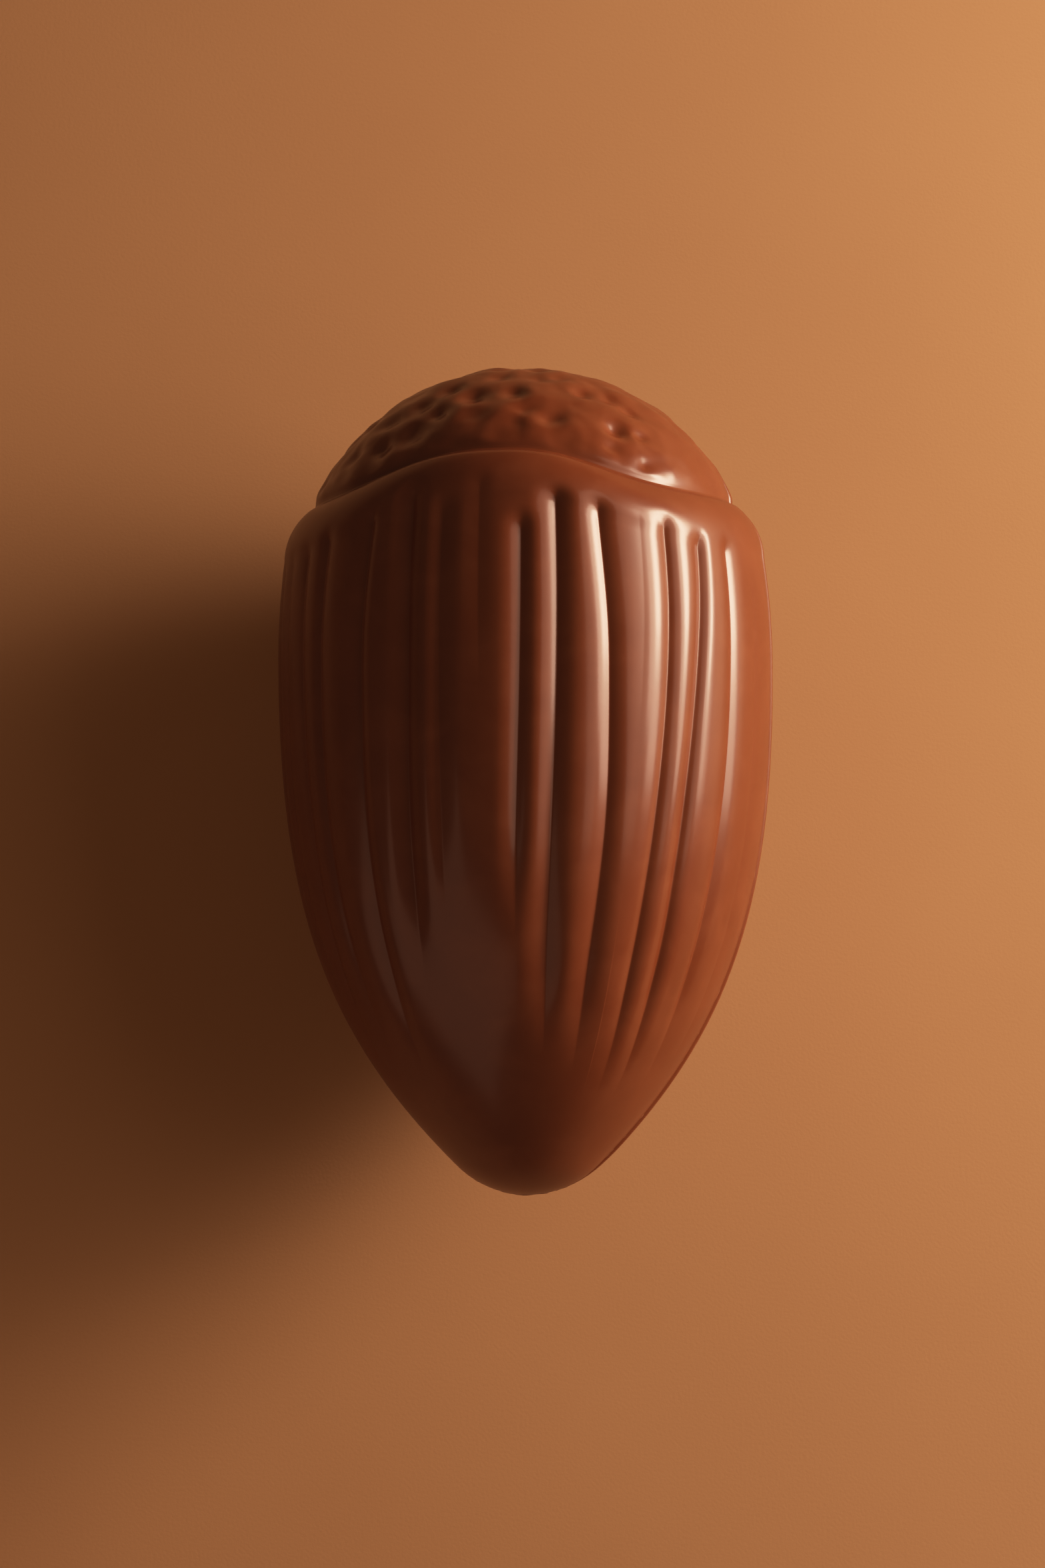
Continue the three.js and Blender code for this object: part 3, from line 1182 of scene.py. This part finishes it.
    def is_lower(self, column: Column) -> bool:
        """Say whether a column is on the lower half, past the right seam.

        Args:
            column: One of the columns.

        Returns:
            True on the lower half.
        """
        near, _, _, t = column
        return near.at > Side.RIGHT.value or (near.at == Side.RIGHT.value and t > 0)

    def between(self, column: Column, station: np.ndarray) -> np.ndarray:
        """Where a column runs, between the valleys on its two sides.

        Args:
            column: One of the columns.
            station: Distances from the tip.

        Returns:
            Angles round the egg.
        """
        near, far, turn, t = column
        return self.valley_angle(near, station) * (1 - t) + (self.valley_angle(far, station) + turn) * t

    def radii(self, grid: Grid) -> np.ndarray:
        """Radius of the smooth skin at every row and column.

        Args:
            grid: Where to read it.

        Returns:
            Radii, with the seam's fine groove taken out.
        """
        form = self.form
        station, angle, rim = grid.station, grid.angle, grid.rim
        foot = rim + form.step_run
        edge = form.shell_radius(rim, angle[-1])
        base = np.minimum(form.dome_profile(foot), edge) - form.step_height
        fallen = 1 - (1 - np.clip((station - rim) / form.step_run, 0, 1)) ** 2
        lip = form.lip_height * np.exp(-((((station - rim) / form.lip_width) - 1) ** 2))
        step = edge + (base - edge) * fallen + lip
        past = np.hypot(np.maximum(station - foot, 0), form.dome_tuck) - form.dome_tuck
        settle = (form.dome_profile(foot) - base) * np.exp(-past / form.dome_roll)
        dome = form.dome_profile(station) - settle
        body = form.shell_radius(np.minimum(station, rim), angle)
        part = grid.parts[:, None]
        radius = np.where(part == Part.BODY, body, np.where(part == Part.STEP, step, dome))
        across = np.radians(90 - np.abs(form.in_half(angle))) * radius
        groove = self.seam_depth * np.exp(-((across / self.seam_width) ** 2))
        return np.maximum(radius - groove, self.least_radius)

    def mismatch(self, station: np.ndarray, lower: np.ndarray) -> tuple[np.ndarray, np.ndarray]:
        """Shift of the lower half, which fades out towards both ends.

        Args:
            station: Distances from the tip.
            lower: True where a place is on the lower half.

        Returns:
            Shifts across and along.
        """
        length = self.form.length
        comes_in = smoothstep(station, 0, self.shift_fade)
        goes_out = 1 - smoothstep(station, length - self.shift_fade, length)
        share = np.where(lower, comes_in * goes_out, 0.0)
        across, along = self.lower_shift
        return across * share, along * share

    def relief_facts(self, columns: list[Column], grid: Grid) -> dict[str, np.ndarray]:
        """Collect what the relief trees read at each point.

        Args:
            columns: The columns.
            grid: Rows and columns of the skin.

        Returns:
            Grids of numbers by attribute name, in mm.
        """
        station = grid.station
        above = station - grid.rim[None, :]
        around = np.radians(self.form.flank_radius(np.minimum(station, self.form.widest_at)))
        facts = {
            "station": station,
            "below_rim": np.maximum(-above, 0),
            "fluted": np.where(grid.parts[:, None] == Part.BODY, np.ones_like(station), 0.0),
            "dimpled": smoothstep(above, 0.5 * self.dimples.clear, 1.5 * self.dimples.clear),
        }
        for label, pick, turn, bank in (("near", 0, 0.0, "right"), ("far", 1, 1.0, "left")):
            flutes = [column[pick] for column in columns]
            turns = np.array([column[2] * turn for column in columns])
            valleys = [self.valley_angle(flute, station[:, j]) for j, flute in enumerate(flutes)]
            aside = grid.angle - np.stack(valleys, axis=1) - turns[None, :]
            facts[f"{label}_across"] = np.abs(aside) * around
            sizes = {"depth": "depth", "half": bank, "foot": "foot", "top": "top", "curve": "curve"}
            for size, source in sizes.items():
                values = np.array([getattr(flute, source) for flute in flutes])
                facts[f"{label}_{size}"] = np.repeat(values[None, :], len(station), axis=0)
        return facts

    def build(self) -> Object:
        """Make the finished skin and lay it down.

        Returns:
            The skin, in the frame.
        """
        points = self.dimples.points()
        skin = grow(self.blank(), [self.relief.tree(), self.dimples.tree(points)])
        bpy.data.objects.remove(points)
        mesh = skin.data
        places = np.empty(len(mesh.vertices) * 3)
        mesh.vertices.foreach_get("co", places)
        laid = self.rest.settle(places.reshape(-1, 3))
        mesh.vertices.foreach_set("co", laid.ravel())
        for label in [a.name for a in mesh.attributes if a.name.split("_")[0] in RELIEF_WORDS]:
            mesh.attributes.remove(mesh.attributes[label])
        mesh.shade_smooth()
        mesh.update()
        return skin

    def seam_loop(self, step: float) -> np.ndarray:
        """Follow the seam once round the egg, up its right side and down its left.

        Args:
            step: Distance between points along the axis, in mm.

        Returns:
            Places in the egg's own axes, in metres.
        """
        form = self.form
        sweep = np.linspace(0, math.pi, round(form.length / step))
        station = form.length * (1 - np.cos(sweep)) / 2
        sides = []
        for side in Side:
            angle = np.full((len(station), 1), side.value)
            rim = form.rim(angle[0])
            rows = station[:, None]
            above = np.where(station < rim + form.step_run, Part.STEP, Part.DOME)
            parts = np.where(station < rim, Part.BODY, above)
            radius = self.radii(Grid(rows, angle, rim, parts))
            sides.append(form.place(rows, angle, radius)[:, 0])
        left, right = sides
        return np.concatenate([right[1:-1], left[-2:0:-1]])


@dataclass
class SeamFlash:
    """The thin ragged line of chocolate pressed out between the two halves.

    Sizes are in mm.

    Attributes:
        egg: The egg whose seam it follows.
        finish: The scuffed chocolate.
        name: The piece's name.
        spacing: Distance between points of the line.
        thin: Radius of the line where it is thinnest.
        thick: Radius where it is thickest.
        wander: How far it strays from the seam.
        patch_mm: Distance over which it changes.
        torn: Levels of the noise between which it swells from thin to thick.
        sides: Number of sides of its section.
    """

    egg: FlutedEgg
    finish: Material
    name: str = "seam_flash"
    spacing: float = 0.8
    thin: float = 0.05
    thick: float = 0.42
    wander: float = 0.35
    patch_mm: float = 3.0
    torn: tuple[float, float] = (0.42, 0.72)
    sides: int = 6

    def tree(self) -> NodeTree:
        """Build the tree that turns the seam's line into a ragged bead.

        Returns:
            A geometry tree with Thin, Thick, Wander and Patch as its sizes.
        """
        sizes = {"Thin": self.thin, "Thick": self.thick, "Wander": self.wander, "Patch": self.patch_mm}
        tree, start = new_geometry_tree("seam_bead", {name: size * MM for name, size in sizes.items()})
        given = start.outputs
        position = add_node(tree, "GeometryNodeInputPosition").outputs[0]
        density = add_node(tree, MATH, {0: 1.0, 1: given["Patch"]}, operation="DIVIDE").outputs[0]
        waves = {"Vector": position, "Scale": density, "Detail": 3.0, "Roughness": 0.7}
        rough = add_node(tree, NOISE, waves)
        swell = {
            "Value": rough.outputs["Fac"],
            "From Min": self.torn[0],
            "From Max": self.torn[1],
            "To Min": given["Thin"],
            "To Max": given["Thick"],
        }
        radius = add_node(tree, MAP_RANGE, swell)
        line = add_node(tree, "GeometryNodeMeshToCurve", {"Mesh": given["Geometry"]})
        shift = shift_by_noise(tree, rough, given["Wander"])
        moved = add_node(tree, "GeometryNodeSetPosition", {"Geometry": line.outputs[0], "Offset": shift})
        ring = {"Resolution": self.sides, "Radius": 1.0}
        profile = add_node(tree, "GeometryNodeCurvePrimitiveCircle", ring, mode="RADIUS")
        sweep = {
            "Curve": moved.outputs[0],
            "Profile Curve": profile.outputs["Curve"],
            "Scale": radius.outputs["Result"],
        }
        bead = add_node(tree, "GeometryNodeCurveToMesh", sweep)
        end_tree(tree, bead.outputs[0], self.finish)
        return tree

    def build(self) -> Object:
        """Make the bead along the seam of the egg as it lies.

        Returns:
            The bead, in the frame.
        """
        loop = self.egg.rest.follow(self.egg.seam_loop(self.spacing))
        loop[:, 2] = np.maximum(loop[:, 2], CAD_BOX[0][2] + self.thick * MM)
        count = len(loop)
        mesh = bpy.data.meshes.new(self.name)
        mesh.from_pydata(loop.tolist(), [(i, (i + 1) % count) for i in range(count)], [])
        bead = grow(put_in_scene(self.name, mesh), [self.tree()])
        bead.data.shade_smooth()
        return bead


@dataclass(frozen=True)
class PaperFloor:
    """Matt pale paper, which gives the eye an even ground with a faint grain."""

    name: str = "matt_paper"
    colour: str = "bf966b"
    light_colour: str = "c79e72"
    patch_mm: float = 60.0
    grain_mm: float = 0.6
    grain_height_mm: float = 0.02
    roughness: float = 0.9
    span_m: float = 3.0

    def material(self) -> Material:
        """Build the material.

        Returns:
            The material, on Object coordinates.
        """
        material, tree, place = new_material(self.name)
        patches, grain = [
            add_node(tree, NOISE, {"Vector": place, "Scale": 1 / (size * MM), "Detail": 2.0}).outputs["Fac"]
            for size in (self.patch_mm, self.grain_mm)
        ]
        browns = {"Factor": patches, "A": srgb(self.colour), "B": srgb(self.light_colour)}
        colour = add_node(tree, "ShaderNodeMix", browns, data_type="RGBA").outputs["Result"]
        surface = add_node(tree, BUMP, {"Height": grain, "Distance": self.grain_height_mm * MM})
        look = {"Base Color": colour, "Roughness": self.roughness, "Normal": surface.outputs["Normal"]}
        shader = add_node(tree, "ShaderNodeBsdfPrincipled", look)
        add_node(tree, "ShaderNodeOutputMaterial", {"Surface": shader.outputs["BSDF"]})
        return material

    def build(self) -> Object:
        """Lay the floor under the egg.

        Returns:
            The floor.
        """
        half = self.span_m / 2
        low = CAD_BOX[0][2]
        corners = [(-half, -half, low), (half, -half, low), (half, half, low), (-half, half, low)]
        mesh = bpy.data.meshes.new("floor")
        mesh.from_pydata(corners, [], [(0, 1, 2, 3)])
        mesh.materials.append(self.material())
        floor = put_in_scene("floor", mesh)
        return floor


@dataclass(frozen=True)
class SoftLight:
    """One soft light, placed and sized by what the egg sees of it.

    Attributes:
        name: The light's name.
        azimuth: Degrees from +X towards +Y, from its one edge to the other.
        elevation: Degrees above the floor, from its lower to its upper edge.
        radiance: How bright its face is.
        colour: Colour as sRGB hex.
        distance: Metres from the egg.
    """

    name: str
    azimuth: tuple[float, float]
    elevation: tuple[float, float]
    radiance: float
    colour: str = "ffceb0"
    distance: float = 0.56

    def build(self, target: Vector) -> Object:
        """Hang the light and turn it to the egg.

        Args:
            target: The place it faces.

        Returns:
            The light.
        """
        across = math.radians(sum(self.azimuth) / 2)
        up = math.radians(sum(self.elevation) / 2)
        spread = math.radians(self.azimuth[1] - self.azimuth[0])
        height = math.radians(self.elevation[1] - self.elevation[0])
        data = bpy.data.lights.new(self.name, "AREA")
        data.shape = "RECTANGLE"
        data.size = 2 * self.distance * math.cos(up) * math.tan(spread / 2)
        data.size_y = 2 * self.distance * math.tan(height / 2)
        data.energy = math.pi * data.size * data.size_y * self.radiance
        data.color = srgb(self.colour)[:3]
        light = put_in_scene(self.name, data)
        away = Vector((math.cos(up) * math.cos(across), math.cos(up) * math.sin(across), math.sin(up)))
        light.location = target + away * self.distance
        light.rotation_euler = (-away).to_track_quat("-Z", "Y").to_euler()
        light.visible_camera = False
        return light


@dataclass
class Studio:
    """Floor, lights and camera round the egg.

    Attributes:
        floor: The floor.
        lights: The lights.
        target_mm: Place that the camera and the lights face.
        azimuth: Turn of the camera from the tip's side, in degrees.
        elevation: Height of the camera above the floor, in degrees.
        distance_mm: Distance of the camera.
        lens_mm: Its focal length.
        sensor_mm: Height of its sensor.
        nearest_m: Distance from which it sees.
        veil: Level that black is lifted to.
        straight_to: Level up to which the tones stay as they are.
        brightest: Level that becomes white.
        levels: Levels at which the roll-off is set.
        ambient: Colour of the room's light, as sRGB hex.
        ambient_strength: Its strength.
    """

    floor: PaperFloor = field(default_factory=PaperFloor)
    lights: tuple[SoftLight, ...] = (
        SoftLight("window_core", (7, 32), (6, 19), 31.5),
        SoftLight("window_glow", (-6, 38), (2, 25), 8),
        SoftLight("window_top", (0, 34), (26, 31.5), 13),
        SoftLight("window_sky", (-24, 44), (34, 60), 1.1),
        SoftLight("far_fill", (198, 258), (8, 52), 0.38, "ffb792"),
    )
    target_mm: tuple[float, float, float] = (-0.616, -0.824, 44.0)
    azimuth: float = -0.448
    elevation: float = 82.0
    distance_mm: float = 671.0
    lens_mm: float = 85.0
    sensor_mm: float = 36.0
    nearest_m: float = 0.02
    veil: float = 0.0015
    straight_to: float = 0.3
    brightest: float = 4.0
    levels: tuple[float, ...] = (0.3, 0.45, 0.6, 0.8, 1.05, 1.4, 1.8, 2.4, 3.1)
    ambient: str = "ffbd84"
    ambient_strength: float = 0.066

    def camera(self) -> Object:
        """Put up the camera.

        Returns:
            The camera, set as the scene's.
        """
        data = bpy.data.cameras.new("camera")
        data.lens = self.lens_mm
        data.sensor_fit = "VERTICAL"
        data.sensor_height = self.sensor_mm
        data.clip_start = self.nearest_m
        camera = put_in_scene("camera", data)
        across, up = math.radians(self.azimuth), math.radians(self.elevation)
        away = Vector((math.cos(up) * math.sin(across), -math.cos(up) * math.cos(across), math.sin(up)))
        camera.location = (Vector(self.target_mm) + away * self.distance_mm) * MM
        camera.rotation_euler = (-away).to_track_quat("-Z", "Y").to_euler()
        bpy.context.scene.camera = camera
        return camera

    def build(self) -> None:
        """Set up floor, lights, ambient light and camera."""
        self.floor.build()
        target = Vector(self.target_mm) * MM
        for light in self.lights:
            light.build(target)
        world = bpy.data.worlds.new("soft_room")
        world.use_nodes = True
        tree = world.node_tree
        tree.nodes.clear()
        room = {"Color": srgb(self.ambient), "Strength": self.ambient_strength}
        glow = add_node(tree, "ShaderNodeBackground", room)
        add_node(tree, "ShaderNodeOutputWorld", {"Surface": glow.outputs[0]})
        bpy.context.scene.world = world
        self.soften()
        self.camera()

    def soften(self) -> None:
        """Roll off the brightest values as film does, so that they turn to cream."""
        view = bpy.context.scene.view_settings
        view.view_transform = "Standard"
        view.use_curve_mapping = True
        curves = view.curve_mapping
        curves.white_level = (self.brightest,) * 3
        rest = 1 - self.straight_to
        points = curves.curves[3].points
        points[0].handle_type = "VECTOR"
        points[0].location = (0.0, self.veil)
        for level in self.levels:
            eased = self.straight_to + rest * (1 - math.exp(-(level - self.straight_to) / rest))
            points.new(level / self.brightest, eased)
        curves.update()


def dress(piece: Object) -> None:
    """Tie a piece to the egg's body, and log its triangle count.

    Args:
        piece: The finished piece.
    """
    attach(piece, "root")
    triangles = sum(len(face.vertices) - 2 for face in piece.data.polygons)
    LOG.info("%s: %d triangles", piece.name, triangles)


def main() -> None:
    """Build the egg and the studio round it."""
    logging.basicConfig(level=logging.INFO, format="%(name)s: %(message)s")
    Studio().build()
    chocolate = MilkChocolate().material()
    form = EggForm()
    egg = FlutedEgg(form, RestingPose(), FluteRelief(chocolate), DomeDimples(form, chocolate))
    skin = egg.build()
    dress(skin)
    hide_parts("chocolate_egg")
    scuffed = MilkChocolate(
        name="scuffed_chocolate",
        colour="8a5a3c",
        deep_colour="6b3c22",
        cloudy_colour="a87b5c",
        roughness=0.6,
        cloudy_roughness=0.8,
        film_roughness=0.6,
        patch_mm=3.0,
    ).material()
    dress(SeamFlash(egg, scuffed).build())


if __name__ == "__main__":
    main()
